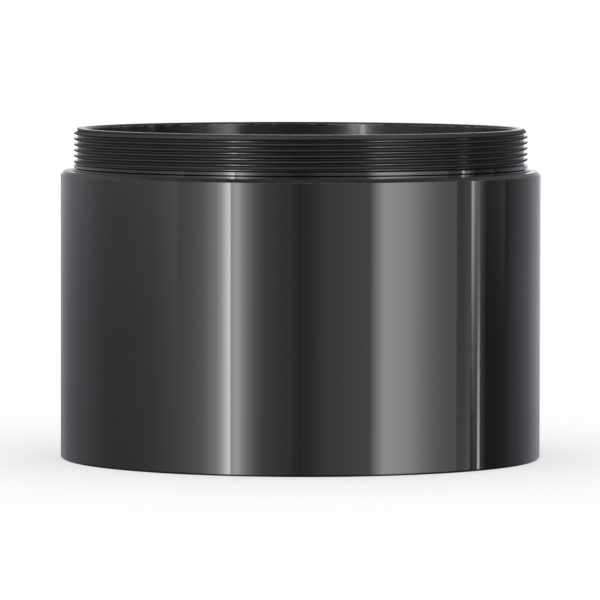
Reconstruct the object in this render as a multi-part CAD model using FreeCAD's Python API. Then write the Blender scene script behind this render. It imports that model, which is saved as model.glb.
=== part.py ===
import FreeCAD, Part
import math
import os

# Eyepiece barrel extender for the 2-inch barrel size, in millimetres.
# The origin is the centre of the foot face, +Z runs along the optical axis towards the threaded nose,
# and the front is -Y. A barrel tube carries a double-ended threaded ring screwed in from above.

# Barrel tube, outside
barrel_diameter = 50.8
barrel_length = 30.4
shoulder_chamfer = 0.36
foot_chamfer = 0.2

# Barrel tube, inside
barrel_bore = 46.0
foot_thread_length = 5.6
foot_thread_lead = 0.7
joint_thread_length = 4.5
joint_thread_lead = 0.35
thread_relief_height = 0.8
thread_relief_depth = 0.1
glare_groove_pitch = 0.9
glare_groove_depth = 0.3
glare_groove_crest = 0.12
glare_groove_margin = 1.0

# The fine 60 degree thread that both pieces share
thread_diameter = 48.0
thread_pitch = 0.6
thread_depth = 0.42
thread_crest_width = 0.05
thread_flank_angle = 30.0
tapping_diameter = 47.35
root_clearance = 0.06
flank_clearance = 0.04

# Nose of the threaded ring, counted down from its top face
nose_height = 4.5
nose_bore = 45.6
nose_lead_height = 0.5
nose_lead_depth = 0.4
nose_bore_chamfer = 0.22
first_crest_drop = 0.4
nose_full_turns = 5
runout_start_angle = 15.0
runout_sweep = 240.0

# Plain lands between the nose's thread and the barrel's shoulder, counted up from the shoulder
seam_gap = 0.02
skirt_diameter = 47.9
skirt_height = 0.17
notch_depth = 0.16

# Buried end of the threaded ring, with a neck in the mouth of the barrel
neck_diameter = 47.0
neck_depth = 0.9
buried_lead = 0.6

# How far a cutter reaches past the surface that it opens, and the share of a turn it cuts at a time
cutter_overrun = 0.3
flank_overrun = 0.03
groove_step = 0.5

nose_top = barrel_length + nose_height
ring_seat = barrel_length - joint_thread_length
thread_radius = thread_diameter / 2
tapping_radius = tapping_diameter / 2
relief_radius = thread_radius + root_clearance + thread_relief_depth
flank_slope = math.tan(math.radians(thread_flank_angle))
centre = FreeCAD.Vector(0, 0, 0)
optical_axis = FreeCAD.Vector(0, 0, 1)


def outline(points):
    """A closed outline in the plane of the axis, from (radius, height) pairs."""
    corners = [FreeCAD.Vector(radius, 0, height) for radius, height in points]
    return Part.makePolygon(corners + corners[:1])


def turned(points):
    """A solid turned from its outline, with its seam at the back."""
    solid = Part.Face(outline(points)).revolve(centre, optical_axis, 360)
    solid.rotate(centre, optical_axis, 90)
    return solid


def swept_step(section, start_angle, start_height, turns, cone=0):
    """Part of a turn of a helical groove, which climbs from a start angle and height."""
    path = Part.makeHelix(thread_pitch, turns * thread_pitch, section[0][0], cone)
    cutter = path.makePipeShell([outline(section)], True, True)
    cutter.rotate(centre, optical_axis, start_angle)
    cutter.translate(optical_axis * start_height)
    return cutter


def cut_groove(blank, section, start_angle, start_height, turns):
    """Cut a right-hand groove of many turns, one step after the other."""
    solid = blank
    steps = math.ceil(turns / groove_step)
    for index in range(steps):
        done = index * groove_step
        length = min(groove_step, turns - done)
        cutter = swept_step(section, start_angle + 360 * done, start_height + thread_pitch * done, length)
        solid = solid.cut(cutter)
    return solid


def outside_groove_section():
    """The groove between two ridges of a male thread, open outwards, level with its own middle."""
    mouth = (thread_pitch - thread_crest_width) / 2
    root = mouth - thread_depth * flank_slope
    brim = mouth + flank_overrun * flank_slope
    root_radius = thread_radius - thread_depth
    brim_radius = thread_radius + flank_overrun
    open_radius = thread_radius + cutter_overrun
    return [
        (root_radius, -root),
        (brim_radius, -brim),
        (open_radius, -brim),
        (open_radius, brim),
        (brim_radius, brim),
        (root_radius, root),
    ]


def inside_groove_section():
    """The groove of a female thread, which holds a male ridge with clearance all round."""
    ridge = thread_crest_width / 2 + flank_clearance
    root_radius = thread_radius + root_clearance
    root = ridge - root_clearance * flank_slope
    brim_radius = tapping_radius - flank_overrun
    brim = ridge + (thread_radius - brim_radius) * flank_slope
    open_radius = tapping_radius - cutter_overrun
    return [
        (root_radius, root),
        (brim_radius, brim),
        (open_radius, brim),
        (open_radius, -brim),
        (brim_radius, -brim),
        (root_radius, -root),
    ]


def glare_grooves(low, high):
    """Fine anti-glare grooves down the bore, as outline points from the top one to the bottom one."""
    bore = barrel_bore / 2
    count = int((high - low - 2 * glare_groove_margin) / glare_groove_pitch)
    start = (high + low + count * glare_groove_pitch) / 2
    points = []
    for step in range(count):
        top = start - step * glare_groove_pitch
        points.append((bore, top))
        points.append((bore + glare_groove_depth, top - (glare_groove_pitch - glare_groove_crest) / 2))
        points.append((bore, top - glare_groove_pitch + glare_groove_crest))
    return points


def barrel_blank():
    """The plain barrel: glossy outside, a thread land and a relief at each end, and a grooved bore."""
    outer = barrel_diameter / 2
    bore = barrel_bore / 2
    foot_relief = foot_thread_length + thread_relief_height
    joint_relief = ring_seat + thread_relief_height
    points = [
        (tapping_radius + foot_thread_lead, 0),
        (outer - foot_chamfer, 0),
        (outer, foot_chamfer),
        (outer, barrel_length - shoulder_chamfer),
        (outer - shoulder_chamfer, barrel_length),
        (tapping_radius + joint_thread_lead, barrel_length),
        (tapping_radius, barrel_length - joint_thread_lead),
        (tapping_radius, joint_relief),
        (relief_radius, joint_relief),
        (relief_radius, ring_seat),
        (bore, ring_seat),
    ]
    points += glare_grooves(foot_relief, ring_seat)
    points += [
        (bore, foot_relief),
        (relief_radius, foot_relief),
        (relief_radius, foot_thread_length),
        (tapping_radius, foot_thread_length),
        (tapping_radius, foot_thread_lead),
    ]
    return turned(points)


def barrel_tube():
    """The barrel with both of its female threads cut."""
    section = inside_groove_section()
    foot_top = foot_thread_length + thread_relief_height / 2
    foot_turns = foot_top / thread_pitch + 1
    foot_start = foot_top - foot_turns * thread_pitch
    joint_start = ring_seat + thread_pitch / 2
    joint_turns = (barrel_length - joint_start) / thread_pitch + 1
    tube = cut_groove(barrel_blank(), section, 0, foot_start, foot_turns)
    return cut_groove(tube, section, 0, joint_start, joint_turns)


def ring_blank():
    """The ring before threading: nose, plain lands, neck and the buried end with its lead chamfers."""
    bore = nose_bore / 2
    neck = neck_diameter / 2
    skirt = skirt_diameter / 2
    skirt_bottom = barrel_length + seam_gap
    skirt_top = skirt_bottom + skirt_height
    notch_top = skirt_top + notch_depth
    return turned([
        (bore, ring_seat),
        (thread_radius - buried_lead, ring_seat),
        (thread_radius, ring_seat + buried_lead),
        (thread_radius, barrel_length - neck_depth),
        (neck, barrel_length - neck_depth),
        (neck, skirt_bottom),
        (skirt, skirt_bottom),
        (skirt, skirt_top),
        (skirt - notch_depth, notch_top),
        (thread_radius, notch_top),
        (thread_radius, nose_top - nose_lead_height),
        (thread_radius - nose_lead_depth, nose_top),
        (bore + nose_bore_chamfer, nose_top),
        (bore, nose_top - nose_bore_chamfer),
    ])


def runout_groove(section, end_angle, end_height):
    """The last part turn of the nose's groove, which climbs out of the metal as the tool draws back."""
    drop = thread_pitch * runout_sweep / 360
    cone = math.degrees(math.atan2(thread_depth + flank_overrun, drop))
    cutter = swept_step(section, 0, 0, runout_sweep / 360, cone)
    cutter.rotate(centre, FreeCAD.Vector(1, 0, 0), 180)
    cutter.rotate(centre, optical_axis, end_angle)
    cutter.translate(optical_axis * end_height)
    return cutter


def threaded_nose_ring():
    """The double-ended threaded ring, with the nose's thread above and the buried thread below."""
    section = outside_groove_section()
    drop = first_crest_drop + thread_pitch / 2 + nose_full_turns * thread_pitch
    rise = thread_pitch * (runout_start_angle + 90) / 360
    nose_start = nose_top - drop + rise
    nose_turns = (nose_top - nose_start) / thread_pitch + 1
    buried_start = ring_seat - thread_pitch
    buried_end = barrel_length - neck_depth / 2
    buried_turns = (buried_end - buried_start) / thread_pitch
    ring = cut_groove(ring_blank(), section, runout_start_angle, nose_start, nose_turns)
    ring = ring.cut(runout_groove(section, runout_start_angle, nose_start))
    return cut_groove(ring, section, 0, buried_start, buried_turns)


def single_solid(shape):
    """The one solid that a cut leaves."""
    return shape.Solids[0] if len(shape.Solids) == 1 else shape


parts = {
    "barrel_tube": single_solid(barrel_tube()),
    "threaded_nose_ring": single_solid(threaded_nose_ring()),
}
os.makedirs("parts", exist_ok=True)
for name, shape in parts.items():
    shape.exportStep(os.path.join("parts", name + ".step"))
    print(name, "solids", len(shape.Solids), "valid", shape.isValid(), "volume", round(shape.Volume, 2))
shared = parts["barrel_tube"].common(parts["threaded_nose_ring"])
print("shared volume", round(shared.Volume, 4))
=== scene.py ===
# %% [markdown]
# # A glossy black eyepiece barrel extender
# This lesson dresses a short turned tube, the kind that makes an eyepiece's barrel longer. The shape comes
# from the CAD model. What Blender adds is the finish: a deep, glossy black anodised skin that mirrors the
# studio round it.

# %% Load the fixed frame
import math
import bpy
from mathutils import Matrix

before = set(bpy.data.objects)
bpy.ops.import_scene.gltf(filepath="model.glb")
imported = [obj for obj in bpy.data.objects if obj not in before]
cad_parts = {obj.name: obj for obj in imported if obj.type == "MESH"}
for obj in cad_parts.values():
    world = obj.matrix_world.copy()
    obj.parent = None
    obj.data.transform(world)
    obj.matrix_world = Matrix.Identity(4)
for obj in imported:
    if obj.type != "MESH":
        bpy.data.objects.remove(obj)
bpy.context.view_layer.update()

MILLIMETRES_IN_METRE = 1000.0


print("pieces from the CAD:", sorted(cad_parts))

# %% [markdown]
# The object's sizes are needed again and again: where the bore starts, where the shoulder is. They are in
# millimetres, because that is how a machinist names them, and each node that uses them works in millimetres
# too.

# %% Sizes of the real object, in millimetres
outer_radius = 25.4
nose_radius = 24.0
nose_bore_radius = 22.8
shoulder_height = 30.4
shoulder_chamfer = 0.36
foot_chamfer = 0.2
nose_top = 34.9
nose_lead_depth = 0.4
nose_lead_height = 0.5
bore_chamfer = 0.22
plain_lands_height = 0.75
nose_lead_radius = nose_radius - nose_lead_depth
nose_lead_bottom = nose_top - nose_lead_height
bore_edge_height = nose_top - bore_chamfer
thread_bottom = shoulder_height + plain_lands_height

# %% [markdown]
# ## The camera
# The photograph was taken from the front and slightly above, from about two thirds of a metre. A long lens
# keeps the tube's sides upright. A parallel view would do that too, but it would give the rim the same
# curve as the foot, and in the photograph the rim's is much the flatter. The camera looks down by about
# three degrees, and isn't shifted. It was held a hair off level, which a roll of an eighth of a degree
# repeats.

# %% Camera at the photograph's viewpoint
camera_side = -0.00005
camera_distance = 0.6636
camera_height = 0.0547
aim_height = 0.01668
camera_roll = 0.12

camera_data = bpy.data.cameras.new("photograph_camera")
camera = bpy.data.objects.new("photograph_camera", camera_data)
bpy.context.scene.collection.objects.link(camera)
camera_data.sensor_fit = "HORIZONTAL"
camera_data.sensor_width = 36.0
camera_data.lens = 376.2
tilt = math.atan2(camera_height - aim_height, camera_distance)
upright = Matrix.Rotation(math.radians(90) - tilt, 3, "X")
roll = Matrix.Rotation(math.radians(camera_roll), 3, "Z")
camera.location = (camera_side, -camera_distance, camera_height)
camera.rotation_euler = (upright @ roll).to_euler()
bpy.context.scene.camera = camera
print("camera looks down by", round(math.degrees(tilt), 2), "degrees")

# %% [markdown]
# ## Small helpers for node trees
# Every material here is made of nodes. Four short helpers keep the cells readable: one adds a node with its
# settings, one chains a sum such as `a * b` without ten lines of code, one makes a soft step, and one mixes
# two colours.

# %% Node helpers
def add_node(tree, kind, **settings):
    """Add a node and set its properties, or its sockets where the name is a socket's."""
    node = tree.nodes.new(kind)
    for key, value in settings.items():
        if key in node.inputs:
            node.inputs[key].default_value = value
        else:
            setattr(node, key, value)
    return node


def sum_node(tree, operation, *terms, clamp=False):
    """A Math node whose terms are numbers or sockets; gives its output socket."""
    node = tree.nodes.new("ShaderNodeMath")
    node.operation = operation
    node.use_clamp = clamp
    for socket, term in zip(node.inputs, terms):
        if isinstance(term, (int, float)):
            socket.default_value = term
        else:
            tree.links.new(term, socket)
    return node.outputs[0]


def between(tree, value, low, high):
    """A soft step: 0 below low, 1 above high."""
    node = tree.nodes.new("ShaderNodeMapRange")
    node.interpolation_type = "SMOOTHSTEP"
    tree.links.new(value, node.inputs["Value"])
    node.inputs["From Min"].default_value = low
    node.inputs["From Max"].default_value = high
    return node.outputs["Result"]


def mixed(tree, factor, first, second):
    """A Mix node from the first colour to the second, each a triple or a socket; gives its output socket."""
    mix = add_node(tree, "ShaderNodeMix", data_type="RGBA")
    tree.links.new(factor, mix.inputs["Factor"])
    for socket, colour in ((mix.inputs["A"], first), (mix.inputs["B"], second)):
        if isinstance(colour, tuple):
            socket.default_value = (*colour, 1.0)
        else:
            tree.links.new(colour, socket)
    return mix.outputs["Result"]


# %% [markdown]
# ## Where am I on the tube?
# The finish changes over the object: polished outside, matt in the bore, a little worn on the edges. It
# could be split over several materials, each on its own faces, but then each edge of a finish has to be an
# edge of the mesh. A turned part is described by two numbers, the distance from its axis and the height, so
# the first group gives those in millimetres, with the angle round the axis as a third, and the finish can
# change anywhere. It reads the object's own coordinates, so it stays put when the camera moves.

# %% Node group: place on the tube
FLOAT = "NodeSocketFloat"


def new_group(name, inputs, outputs):
    """A shader node group with its input and output sockets, and its two end nodes."""
    group = bpy.data.node_groups.new(name, "ShaderNodeTree")
    for label, kind, default in inputs:
        socket = group.interface.new_socket(label, in_out="INPUT", socket_type=kind)
        socket.default_value = default
    for label, kind in outputs:
        group.interface.new_socket(label, in_out="OUTPUT", socket_type=kind)
    return group, group.nodes.new("NodeGroupInput"), group.nodes.new("NodeGroupOutput")


place_group, _, place_out = new_group(
    "place_on_tube", [], [("Radius", FLOAT), ("Height", FLOAT), ("Angle", FLOAT)])
coords = add_node(place_group, "ShaderNodeTexCoord")
split = add_node(place_group, "ShaderNodeSeparateXYZ")
place_group.links.new(coords.outputs["Object"], split.inputs[0])
x_squared = sum_node(place_group, "MULTIPLY", split.outputs["X"], split.outputs["X"])
y_squared = sum_node(place_group, "MULTIPLY", split.outputs["Y"], split.outputs["Y"])
radius = sum_node(place_group, "SQRT", sum_node(place_group, "ADD", x_squared, y_squared))
radius_mm = sum_node(place_group, "MULTIPLY", radius, MILLIMETRES_IN_METRE)
height_mm = sum_node(place_group, "MULTIPLY", split.outputs["Z"], MILLIMETRES_IN_METRE)
angle = sum_node(place_group, "ARCTAN2", split.outputs["Y"], split.outputs["X"])
place_group.links.new(radius_mm, place_out.inputs["Radius"])
place_group.links.new(height_mm, place_out.inputs["Height"])
place_group.links.new(angle, place_out.inputs["Angle"])
print("group", place_group.name, "has", len(place_group.nodes), "nodes")

# %% [markdown]
# ## Turning marks
# The tube was turned in a lathe, and under the black skin the tool's fine rings are still there. They are
# far too fine to model, so they are a bump: noise stretched round the axis, so that it changes quickly with
# height and hardly at all round the tube. The same noise varies the gloss a little.

# %% Node group: turning marks
marks_group, marks_in, marks_out = new_group(
    "turning_marks",
    [("Rings per mm", FLOAT, 6.0), ("Waver", FLOAT, 0.35)],
    [("Rings", FLOAT), ("Streaks", FLOAT)])
place = add_node(marks_group, "ShaderNodeGroup", node_tree=place_group)
rings_per_mm = marks_in.outputs["Rings per mm"]
cosine = sum_node(marks_group, "COSINE", place.outputs["Angle"])
ring_place = add_node(marks_group, "ShaderNodeCombineXYZ")
for axis, value in (
        ("X", sum_node(marks_group, "MULTIPLY", place.outputs["Height"], rings_per_mm)),
        ("Y", sum_node(marks_group, "MULTIPLY", place.outputs["Radius"], rings_per_mm)),
        ("Z", sum_node(marks_group, "MULTIPLY", cosine, marks_in.outputs["Waver"]))):
    marks_group.links.new(value, ring_place.inputs[axis])
ring_noise = add_node(marks_group, "ShaderNodeTexNoise", Scale=1.0, Detail=3.0, Roughness=0.6)
streak_noise = add_node(marks_group, "ShaderNodeTexNoise", Scale=0.12, Detail=2.0, Roughness=0.5)
for noise, label in ((ring_noise, "Rings"), (streak_noise, "Streaks")):
    marks_group.links.new(ring_place.outputs[0], noise.inputs["Vector"])
    marks_group.links.new(noise.outputs["Fac"], marks_out.inputs[label])
print("group", marks_group.name, "has", len(marks_group.nodes), "nodes")

# %% [markdown]
# ## Worn edges and a painted highlight
# Anodising is thinnest on a sharp edge, and that is where a fingernail, a thread or a table rubs it. A mask
# could be painted by hand, but the edges of a turned part are circles of a known radius and height. The
# mask below is strong within a few hundredths of a millimetre of such a circle, and noise breaks it up, so
# that it looks touched here and there rather than drawn with a ruler. The lighter grey it leaves is partly
# that wear and partly a painted highlight along the edges.

# %% Node group: edge wear and painted highlight
rub_and_highlight_start = 0.42
rub_and_highlight_end = 0.62

wear_and_highlight_group, wear_and_highlight_in, wear_and_highlight_out = new_group(
    "edge_wear_and_highlight",
    [("Edge radius", FLOAT, 25.4), ("Edge height", FLOAT, 0.0), ("Reach", FLOAT, 0.08),
     ("Amount", FLOAT, 0.5)],
    [("Mask", FLOAT)])
place = add_node(wear_and_highlight_group, "ShaderNodeGroup", node_tree=place_group)
off_radius = sum_node(wear_and_highlight_group, "SUBTRACT", place.outputs["Radius"], wear_and_highlight_in.outputs["Edge radius"])
off_height = sum_node(wear_and_highlight_group, "SUBTRACT", place.outputs["Height"], wear_and_highlight_in.outputs["Edge height"])
apart_squared = sum_node(
    wear_and_highlight_group, "ADD",
    sum_node(wear_and_highlight_group, "MULTIPLY", off_radius, off_radius),
    sum_node(wear_and_highlight_group, "MULTIPLY", off_height, off_height))
apart = sum_node(wear_and_highlight_group, "SQRT", apart_squared)
reaches = sum_node(wear_and_highlight_group, "DIVIDE", apart, wear_and_highlight_in.outputs["Reach"])
nearness = sum_node(wear_and_highlight_group, "SUBTRACT", 1.0, reaches, clamp=True)
rub_and_highlight_place = add_node(wear_and_highlight_group, "ShaderNodeTexCoord")
rub_and_highlight_noise = add_node(wear_and_highlight_group, "ShaderNodeTexNoise", Scale=900.0, Detail=3.0, Roughness=0.65)
wear_and_highlight_group.links.new(rub_and_highlight_place.outputs["Object"], rub_and_highlight_noise.inputs["Vector"])
rubbed_and_highlit = between(wear_and_highlight_group, rub_and_highlight_noise.outputs["Fac"], rub_and_highlight_start, rub_and_highlight_end)
worn_and_highlit = sum_node(wear_and_highlight_group, "MULTIPLY", nearness, rubbed_and_highlit)
mask = sum_node(wear_and_highlight_group, "MULTIPLY", worn_and_highlit, wear_and_highlight_in.outputs["Amount"])
wear_and_highlight_group.links.new(mask, wear_and_highlight_out.inputs["Mask"])
print("group", wear_and_highlight_group.name, "has", len(wear_and_highlight_group.nodes), "nodes")

# %% [markdown]
# ## Black anodised skin
# Anodising turns the aluminium's surface into clear, dyed oxide: black below, with a glassy face on top.
# That is a dark base with a plain dielectric reflection, not a metal. The base is nearly black with a trace
# of violet, which the dye has, and the reflection does the rest. Turning leaves rings that spread a
# highlight up and down but not sideways, so the reflection is anisotropic, with its tangent round the axis.
#
# A turned part changes its finish with the distance from the axis and with the height, so each material is
# a short list of zones. A zone covers all that lies outside its radius and above its height, in
# millimetres, and has its own base colour and roughness. Where zones overlap, the later one wins.

# %% Material: zones of black
zone_blend = 0.05
dye_cloud = (0.016, 0.016, 0.018)
cloud_share = 0.25
# wear and painted highlight: the lighter grey of the rubbed edges
rubbed_and_highlight_grey = (0.2, 0.2, 0.205)
least_gloss_factor = 0.85
gloss_spread = 0.3


def anodised_material(name, zones, worn_and_highlit_edges):
    """Black anodised aluminium.
    zones: (from radius, from height, base colour, roughness), the first one all over.
    worn_and_highlit_edges: (edge radius, edge height, reach, amount), rubbed to a lighter grey that is wear
    and a painted highlight."""
    material = bpy.data.materials.new(name)
    material.use_nodes = True
    tree = material.node_tree
    shader = tree.nodes["Principled BSDF"]
    shader.inputs["Metallic"].default_value = 0.0
    shader.inputs["IOR"].default_value = 1.5
    shader.inputs["Anisotropic"].default_value = 1.0
    shader.inputs["Anisotropic Rotation"].default_value = 0.25
    tangent = add_node(tree, "ShaderNodeTangent", direction_type="RADIAL", axis="Z")
    tree.links.new(tangent.outputs[0], shader.inputs["Tangent"])
    here = add_node(tree, "ShaderNodeGroup", node_tree=place_group)
    marks = add_node(tree, "ShaderNodeGroup", node_tree=marks_group)

    _, _, colour, roughness = zones[0]
    for from_radius, from_height, zone_colour, zone_roughness in zones[1:]:
        outside = between(tree, here.outputs["Radius"], from_radius, from_radius + zone_blend)
        above = between(tree, here.outputs["Height"], from_height, from_height + zone_blend)
        reached = sum_node(tree, "MULTIPLY", outside, above)
        colour = mixed(tree, reached, colour, zone_colour)
        change = sum_node(tree, "SUBTRACT", zone_roughness, roughness)
        roughness = sum_node(tree, "MULTIPLY_ADD", reached, change, roughness)
    cloud = sum_node(tree, "MULTIPLY", marks.outputs["Streaks"], cloud_share)
    colour = mixed(tree, cloud, colour, dye_cloud)

    for worn_and_highlit_edge in worn_and_highlit_edges:
        edge = add_node(tree, "ShaderNodeGroup", node_tree=wear_and_highlight_group)
        for label, value in zip(("Edge radius", "Edge height", "Reach", "Amount"), worn_and_highlit_edge):
            edge.inputs[label].default_value = value
        # wear and painted highlight: each edge is mixed towards a lighter grey
        colour = mixed(tree, edge.outputs["Mask"], colour, rubbed_and_highlight_grey)
    tree.links.new(colour, shader.inputs["Base Color"])

    uneven = sum_node(tree, "MULTIPLY_ADD", marks.outputs["Streaks"], gloss_spread, least_gloss_factor)
    tree.links.new(sum_node(tree, "MULTIPLY", roughness, uneven), shader.inputs["Roughness"])
    bump = add_node(tree, "ShaderNodeBump", Strength=0.06, Distance=0.0000005)
    tree.links.new(marks.outputs["Rings"], bump.inputs["Height"])
    tree.links.new(bump.outputs["Normal"], shader.inputs["Normal"])
    return material


def finish_node(name, material):
    """Put the material in place of the CAD node's own."""
    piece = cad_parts[name]
    piece.data.materials.clear()
    piece.data.materials.append(material)
    print(name, "wears", material.name)


# %% [markdown]
# The barrel is smooth outside and rubbed a little at the shoulder's two edges, a lighter grey that is
# partly wear and partly a painted highlight. The foot's small chamfer is left matt and painted nearly
# black, painted shade that draws a thin dark line where the tube meets the table. The bore is matt
# too, because light that glances off it would spoil the view through an eyepiece.

# %% Barrel tube
gloss_black = (0.0062, 0.0058, 0.0068)
matt_black = (0.012, 0.012, 0.013)
# painted shade: the foot's chamfer is nearly black where the tube meets the table
foot_painted_shade_black = (0.0005, 0.0005, 0.0005)
skin_start = 24.3
below_foot = -1.0
foot_line = foot_chamfer - 0.03
rub_and_highlight_reach = 0.06
barrel_black = anodised_material(
    "barrel_gloss_black",
    zones=[
        (0.0, 0.0, matt_black, 0.55),
        # painted shade on the foot's chamfer, a thin dark line along the table
        (skin_start, below_foot, foot_painted_shade_black, 0.5),
        (skin_start, foot_line, gloss_black, 0.07),
    ],
    # wear and painted highlight at the shoulder's two edges
    worn_and_highlit_edges=[
        (outer_radius, shoulder_height - shoulder_chamfer, rub_and_highlight_reach, 0.35),
        (outer_radius - shoulder_chamfer, shoulder_height, rub_and_highlight_reach, 0.25),
    ])
finish_node("barrel_tube", barrel_black)

# %% [markdown]
# The ring is the same black. Its bore keeps a satin gloss just inside the rim, where the photograph shows
# two upright streaks, the reflections of the two lights. In the thread the cut metal is rougher, and the
# grooves and crests are painted a lighter grey than the smooth lands, painted light that lifts the shade
# in the grooves. The crests and the chamfer that leads the thread in are rubbed quite dull, and the rim's
# edges are lightly worn, a lighter grey that is also a painted highlight.

# %% Threaded nose ring
satin_black = (0.008, 0.008, 0.0085)
chamfer_black = (0.001, 0.001, 0.001)
# painted light: the thread's grooves and crests are a lighter grey that lifts their shade
thread_painted_light_grey = (0.014, 0.014, 0.015)
crest_painted_light_grey = (0.021, 0.021, 0.022)
lead_grey = (0.017, 0.017, 0.018)
bore_chamfer_start = 22.82
bore_wall_end = 22.86
rim_face_start = 23.0
thread_start = 23.5
crest_start = 23.84
bore_rub_and_highlight_drop = 0.04
bore_rub_and_highlight_reach = 0.08
ring_black = anodised_material(
    "ring_gloss_black",
    zones=[
        (0.0, 0.0, satin_black, 0.2),
        (bore_wall_end, 0.0, gloss_black, 0.07),
        # painted light in the thread: a lighter grey base lifts the shaded grooves
        (thread_start, thread_bottom, thread_painted_light_grey, 0.22),
        (crest_start, thread_bottom, crest_painted_light_grey, 0.95),
        (bore_chamfer_start, bore_edge_height, chamfer_black, 0.4),
        (rim_face_start, bore_edge_height, gloss_black, 0.12),
        (thread_start, nose_lead_bottom, lead_grey, 0.9),
    ],
    # wear and painted highlight at the rim's edges and the bore's edge
    worn_and_highlit_edges=[
        (nose_lead_radius, nose_top, rub_and_highlight_reach, 0.4),
        (nose_radius, nose_lead_bottom, rub_and_highlight_reach, 0.25),
        (nose_bore_radius, bore_edge_height - bore_rub_and_highlight_drop, bore_rub_and_highlight_reach, 0.9),
    ])
finish_node("threaded_nose_ring", ring_black)

# %% [markdown]
# ## The studio
# A mirror-like black tube shows little but the room. So the room is built as a photographer would: a pale
# wall, a narrow strip light to the left of the camera with a softbox beside it, a broad softbox to the
# right, and a black card beyond it. Lamps would do for a matt object, but here each light is seen, with its
# edges and its fade, so each is a glowing card. All of them stand on a circle round the object. Only
# reflections see them, so the light on the floor stays plain.

# %% Cards that glow
panel_distance = 1.1
low_bottom = -0.4
low_top = 0.09
high_top = 0.9
panel_columns = 24
plain_white = (1.0, 1.0, 1.0)
violet_grey = (1.0, 0.985, 1.09)


def ramp_node(tree, position, strengths, colour):
    """A colour ramp with the strengths spread evenly over it, as shares of the largest."""
    ramp = add_node(tree, "ShaderNodeValToRGB")
    stops = ramp.color_ramp.elements
    last = len(strengths) - 1
    for index in range(2, len(strengths)):
        stops.new(index / last)
    for index, strength in enumerate(strengths):
        stops[index].position = index / last
        stops[index].color = (*[strength / max(strengths) * c for c in colour], 1.0)
    tree.links.new(position, ramp.inputs["Fac"])
    return ramp.outputs["Color"]


def glowing_card(name, across, up, colour):
    """An emission whose strength changes smoothly across the card and up it."""
    material = bpy.data.materials.new(name + "_glow")
    material.use_nodes = True
    tree = material.node_tree
    tree.nodes.clear()
    place_on_card = add_node(tree, "ShaderNodeUVMap", uv_map="card")
    split_card = add_node(tree, "ShaderNodeSeparateXYZ")
    tree.links.new(place_on_card.outputs[0], split_card.inputs[0])
    both_ways = add_node(tree, "ShaderNodeVectorMath", operation="MULTIPLY")
    tree.links.new(ramp_node(tree, split_card.outputs["X"], across, colour), both_ways.inputs[0])
    tree.links.new(ramp_node(tree, split_card.outputs["Y"], up, plain_white), both_ways.inputs[1])
    glow = add_node(tree, "ShaderNodeEmission", Strength=max(across) * max(up))
    tree.links.new(both_ways.outputs[0], glow.inputs["Color"])
    output = add_node(tree, "ShaderNodeOutputMaterial")
    tree.links.new(glow.outputs[0], output.inputs["Surface"])
    return material


def reflected_only(name, mesh):
    """Stage a card that reflections see, and nothing else does."""
    card = bpy.data.objects.new(name, mesh)
    bpy.context.scene.collection.objects.link(card)
    card.visible_camera = False
    card.visible_diffuse = False
    card.visible_shadow = False
    return card


def studio_panel(name, from_angle, to_angle, across, bottom=low_bottom, top=low_top, up=(1.0, 1.0),
                 colour=plain_white):
    """A curved, glowing card. Angles run from the camera's side to the right, in degrees.
    Heights are in metres. across and up are strengths, spread evenly from left to right and upwards."""
    corners = []
    for index in range(panel_columns + 1):
        turn = math.radians(from_angle + (to_angle - from_angle) * index / panel_columns)
        for height in (bottom, top):
            corners.append((panel_distance * math.sin(turn), -panel_distance * math.cos(turn), height))
    faces = [(2 * i, 2 * i + 1, 2 * i + 3, 2 * i + 2) for i in range(panel_columns)]
    mesh = bpy.data.meshes.new(name)
    mesh.from_pydata(corners, [], faces)
    uv = mesh.uv_layers.new(name="card")
    for loop in mesh.loops:
        column, upper = divmod(loop.vertex_index, 2)
        uv.data[loop.index].uv = (column / panel_columns, upper)
    mesh.materials.append(glowing_card(name, across, up, colour))
    return reflected_only(name, mesh)


# %% [markdown]
# The barrel's upright side mirrors a low band of the room only, from the table's height down, because the
# camera looks down on it. These cards make its stripes: their edges are the stripes' edges. A card's
# strength up its height makes a stripe fade towards the foot or the shoulder.

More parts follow.
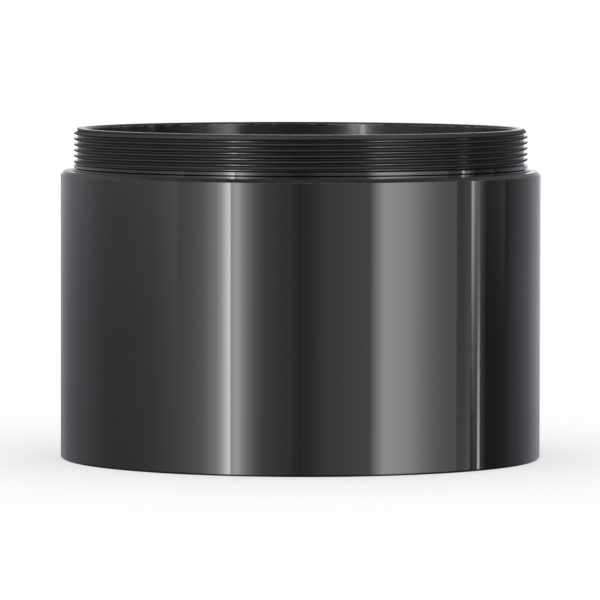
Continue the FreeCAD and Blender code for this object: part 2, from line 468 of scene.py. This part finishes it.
# %% Low cards, seen in the barrel's side
strip_foot_top = -0.065
low_strip_top = -0.045
rear_up = [1.5, 1.5, 1.5, 1.2, 0.45, 1.0, 1.3, 1.6]
left_up = [0.9] * 5 + [1.0, 1.8, 1.8]
right_up = [0.7] * 5 + [1.0] * 3
gap_up = [1.9] * 5 + [1.2, 1.0, 1.0]
strip_up = [0.05, 0.95, 1.1, 1.1]
between_up = [0.02] * 5 + [0.85, 2.3, 2.3]
low_strip_up = [2.9] * 7 + [0.9]
fade_up = [1.0] * 6 + [2.0, 2.0]
card_up = [1.3] * 5 + [1.0, 5.0, 5.0]
low_cards = [
    ("rear_left_wall", -180, -161, [0.42, 0.4], {"colour": violet_grey, "up": rear_up}),
    ("left_rear_wall", -161, -118, [0.4, 0.36, 0.37, 0.4, 0.42], {"colour": violet_grey, "up": left_up}),
    ("left_wall", -118, -60, [0.4, 0.4, 0.5, 0.66, 1.08], {"up": left_up}),
    ("left_glow", -60, -40, [1.08, 1.35, 1.95, 4.0], {}),
    ("left_strip", -40, -32.95, [4.0, 6.2, 10.4, 14.8], {}),
    ("strip_edge", -32.95, -32.1, [5.3, 5.6], {}),
    ("left_softbox", -32.1, -17, [6.6, 7.4, 4.6, 3.0, 1.95, 1.35, 0.98], {}),
    ("camera_shadow", -17, 16, [0.95, 0.75, 0.64, 0.32, 0.48, 0.8, 0.9], {}),
    ("right_wall", 16, 33, [0.9, 1.25], {}),
    ("right_softbox", 33, 79.1, [1.5, 6.1, 5.9, 4.9, 3.3, 2.2, 1.6, 1.5], {}),
    ("right_gap", 79.1, 87.95, [0.6, 0.6, 0.9], {"up": gap_up}),
    ("right_strip", 87.95, 90.3, [1.2, 8.4, 5.8], {"bottom": strip_foot_top, "up": strip_up}),
    ("right_strip_foot", 87.95, 90.3, [0.1, 0.02, 0.02], {"top": strip_foot_top}),
    ("between_strips", 90.3, 92.8, [1.6, 1.0], {"up": between_up}),
    ("right_strip_low", 92.8, 94.4, [2.6, 2.6], {"top": low_strip_top, "up": low_strip_up}),
    ("right_strip_high", 92.8, 94.4, [1.5, 1.2], {"bottom": low_strip_top}),
    ("strip_fade", 94.4, 98.5, [0.6, 0.15], {"up": fade_up}),
    ("right_card", 98.5, 114, [0.07, 0.08, 0.12], {"up": card_up}),
    ("card_edge", 114, 122, [0.12, 0.27], {}),
    ("right_rear_wall", 122, 161, [0.27, 0.4, 0.56, 0.6], {"colour": violet_grey, "up": right_up}),
    ("rear_right_wall", 161, 180, [0.6, 0.56], {"colour": violet_grey, "up": rear_up}),
]
for name, from_angle, to_angle, across, options in low_cards:
    studio_panel(name, from_angle, to_angle, across, **options)
print(len(low_cards), "low cards stand round the object")

# %% [markdown]
# The nose's bore is satin and is seen over the rim, so it mirrors the room's upper part. The lights are
# narrower and brighter there. Straight behind the object the wall is brighter too, which the shoulder's
# chamfer and the thread catch at their left and right ends.

# %% High cards, seen in the bore and the thread
high_cards = [
    ("high_left_rear", -180, -120, [1.8, 0.7, 0.42, 0.4, 0.4, 0.5, 0.6]),
    ("high_left", -120, -52, [0.9, 1.4, 1.4, 1.45, 1.8, 2.1]),
    ("high_left_glow", -52, -36.5, [2.1, 2.4, 3.0, 4.2, 9.0]),
    ("high_strip", -36.2, -33.4, [14.0, 30.0, 44.0]),
    ("high_strip_edge", -33.4, -31.6, [0.5, 0.5]),
    ("high_softbox", -31.6, -17, [13.5, 11.0, 4.7, 2.6, 1.85, 1.5]),
    ("high_middle", -17, 16, [1.5, 1.0, 0.75, 0.55, 0.7, 0.85, 0.85]),
    ("high_right", 16, 33.2, [0.85, 1.2]),
    ("high_right_softbox", 33.2, 52, [1.3, 6.0, 10.5, 7.6, 4.8, 4.2]),
    ("high_right_wall", 52, 104, [2.0, 1.2, 0.45, 0.25, 0.45, 0.5]),
    ("high_right_rear", 104, 180, [0.6, 0.5, 0.4, 0.36, 0.36, 0.4, 0.75, 1.9]),
]
for name, from_angle, to_angle, across in high_cards:
    studio_panel(name, from_angle, to_angle, across, bottom=low_top, top=high_top)
print(len(high_cards), "high cards stand above them")

# %% [markdown]
# The ceiling over a product table is dark, and every chamfer that faces up shows it. That is the dark line
# round the tube under its nose. The card ends just behind the object, so the rim's steeper chamfer still
# catches the light in front. A second, darker card lies below for the foot's chamfer, which faces down.

# %% Dark cards overhead and below
def level_card(name, height, front, strength):
    """A level card from a front edge backwards, which reflections see."""
    side = 1.2
    corners = [(-side, front, height), (side, front, height), (side, side, height), (-side, side, height)]
    mesh = bpy.data.meshes.new(name)
    mesh.from_pydata(corners, [], [(0, 1, 2, 3)])
    mesh.uv_layers.new(name="card")
    mesh.materials.append(glowing_card(name, [strength, strength], [1.0, 1.0], plain_white))
    return reflected_only(name, mesh)


ceiling_card = level_card("ceiling_card", height=0.95, front=-0.12, strength=0.42)
table_shade = level_card("table_shade", height=-0.41, front=-1.2, strength=0.02)
print("dark cards:", ceiling_card.name, "and", table_shade.name)

# %% [markdown]
# ## Floor and room
# The floor is plain white paper that keeps the tube's soft shadow. Polished black doesn't mirror it here,
# so the panels' reflections run on down to the foot, as they do in the photograph. The paper adds a little
# of its own light for the camera alone, which lifts it to white without more light on the tube.

# %% Floor
paper_dark = (0.6, 0.6, 0.6)
paper_light = (0.62, 0.62, 0.62)
paper_lift = 0.46
floor_reach = 12.0


def paper_material():
    """White paper with a fine grain, which the camera sees a little lighter than it is."""
    material = bpy.data.materials.new("white_paper")
    material.use_nodes = True
    tree = material.node_tree
    shader = tree.nodes["Principled BSDF"]
    shader.inputs["Roughness"].default_value = 1.0
    shader.inputs["Specular IOR Level"].default_value = 0.0
    grain = add_node(tree, "ShaderNodeTexNoise", Scale=400.0, Detail=2.0)
    tree.links.new(mixed(tree, grain.outputs["Fac"], paper_dark, paper_light), shader.inputs["Base Color"])
    glow = add_node(tree, "ShaderNodeEmission", Strength=paper_lift)
    lift = add_node(tree, "ShaderNodeAddShader")
    tree.links.new(shader.outputs[0], lift.inputs[0])
    tree.links.new(glow.outputs[0], lift.inputs[1])
    path = add_node(tree, "ShaderNodeLightPath")
    choose = add_node(tree, "ShaderNodeMixShader")
    tree.links.new(path.outputs["Is Camera Ray"], choose.inputs["Fac"])
    tree.links.new(shader.outputs[0], choose.inputs[1])
    tree.links.new(lift.outputs[0], choose.inputs[2])
    tree.links.new(choose.outputs[0], tree.nodes["Material Output"].inputs["Surface"])
    return material


floor_mesh = bpy.data.meshes.new("studio_floor")
floor_mesh.from_pydata(
    [(x * floor_reach, y * floor_reach, 0) for x, y in ((-1, -1), (1, -1), (1, 1), (-1, 1))],
    [], [(0, 1, 2, 3)])
floor_mesh.materials.append(paper_material())
floor = bpy.data.objects.new("studio_floor", floor_mesh)
bpy.context.scene.collection.objects.link(floor)
floor.visible_glossy = False
print(floor.name, "is", 2 * floor_reach, "m wide")

# %% [markdown]
# The room's air itself is white light at a plain level. The camera and every reflection see it as paper
# white.

# %% World
room_level = 0.9
seen_level = 1.0
world = bpy.data.worlds.new("white_studio")
bpy.context.scene.world = world
world.use_nodes = True
tree = world.node_tree
tree.nodes.clear()
world_output = add_node(tree, "ShaderNodeOutputWorld")
room_light = add_node(tree, "ShaderNodeBackground", Color=(1, 1, 1, 1), Strength=room_level)
seen_white = add_node(tree, "ShaderNodeBackground", Color=(1, 1, 1, 1), Strength=seen_level)
path = add_node(tree, "ShaderNodeLightPath")
seen = sum_node(tree, "ADD", path.outputs["Is Camera Ray"], path.outputs["Is Glossy Ray"])
seen = sum_node(tree, "ADD", seen, path.outputs["Is Transmission Ray"], clamp=True)
mix = add_node(tree, "ShaderNodeMixShader")
tree.links.new(seen, mix.inputs["Fac"])
tree.links.new(room_light.outputs[0], mix.inputs[1])
tree.links.new(seen_white.outputs[0], mix.inputs[2])
tree.links.new(mix.outputs[0], world_output.inputs["Surface"])
print("world", world.name, "lights the object at", room_level)

# %% [markdown]
# ## Plain colours
# The Standard view shows a colour about as it is written, with no film curve over it.

bpy.context.scene.view_settings.view_transform = "Standard"
